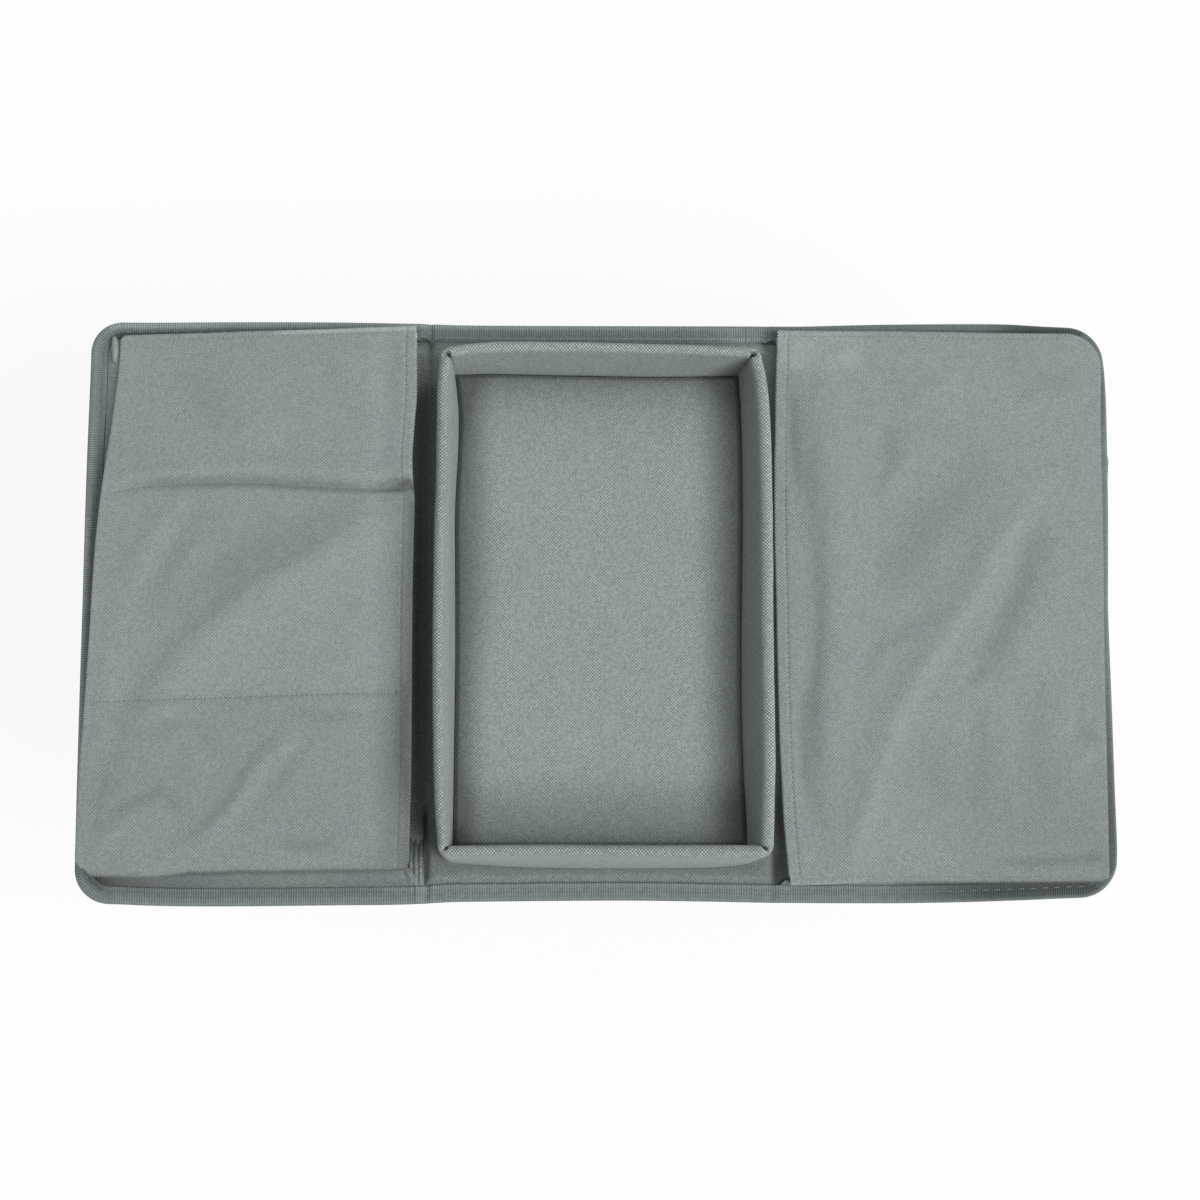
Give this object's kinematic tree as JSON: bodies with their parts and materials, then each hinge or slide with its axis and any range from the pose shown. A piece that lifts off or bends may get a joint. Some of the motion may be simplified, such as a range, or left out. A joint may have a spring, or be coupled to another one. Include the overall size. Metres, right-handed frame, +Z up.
{
  "type": "armrest organizer",
  "caption": "Cloth caddy that folds over a chair arm: padded soft-walled tray on a bound mat, with a divided bellows pocket on one wing and a wide flat pocket on the other.",
  "frame": {"origin": "under the middle of the mat, on the surface that the mat is laid on, with both wings flat", "axes": "+X towards the wing with the wide pocket, +Y towards the rear edge, +Z up out of the tray"},
  "size_m": [0.56, 0.3218, 0.037],
  "materials": {
    "cover_cloth": "plain woven polyester canvas, grey-green",
    "tray_cloth": "plain woven polyester canvas, grey-green",
    "pocket_cloth": "plain woven polyester canvas, grey-green",
    "gusset_cloth": "plain woven polyester canvas, grey-green",
    "binding_tape": "ribbed woven binding tape, darker grey",
    "grip_cloth": "dark backing cloth with small grip dots",
    "board": "plain stiffening board",
    "foam": "soft foam strip"
  },
  "bodies": {
    "center": {"center_backing": "grip_cloth", "center_board": "board", "center_cover": "cover_cloth", "center_binding_front": "binding_tape", "center_binding_rear": "binding_tape", "tray_floor_board": "board", "tray_floor_cover": "tray_cloth", "tray_wall_left": "tray_cloth", "tray_wall_right": "tray_cloth", "tray_wall_front": "tray_cloth", "tray_wall_rear": "tray_cloth", "tray_wall_left_core": "foam", "tray_wall_right_core": "foam", "tray_wall_front_core": "foam", "tray_wall_rear_core": "foam"},
    "left_wing": {"left_backing": "grip_cloth", "left_board": "board", "left_cover": "cover_cloth", "left_binding": "binding_tape", "left_pocket_face": "pocket_cloth", "left_gusset_rear": "gusset_cloth", "left_gusset_side": "gusset_cloth", "left_gusset_front": "gusset_cloth", "left_divider_front": "gusset_cloth", "left_divider_rear": "gusset_cloth"},
    "right_wing": {"right_backing": "grip_cloth", "right_board": "board", "right_cover": "cover_cloth", "right_binding": "binding_tape", "right_pocket_face": "pocket_cloth", "right_gusset_rear": "gusset_cloth", "right_gusset_side": "gusset_cloth", "right_gusset_front": "gusset_cloth"}
  },
  "joints": [
    {"name": "left_wing_fold", "type": "hinge", "parent": "center", "child": "left_wing", "pos_m": [-0.09333, 0, 0], "axis": [0, -1, 0], "range_deg": [-15, 110]},
    {"name": "right_wing_fold", "type": "hinge", "parent": "center", "child": "right_wing", "pos_m": [0.09333, 0, 0], "axis": [0, 1, 0], "range_deg": [-15, 110]}
  ]
}
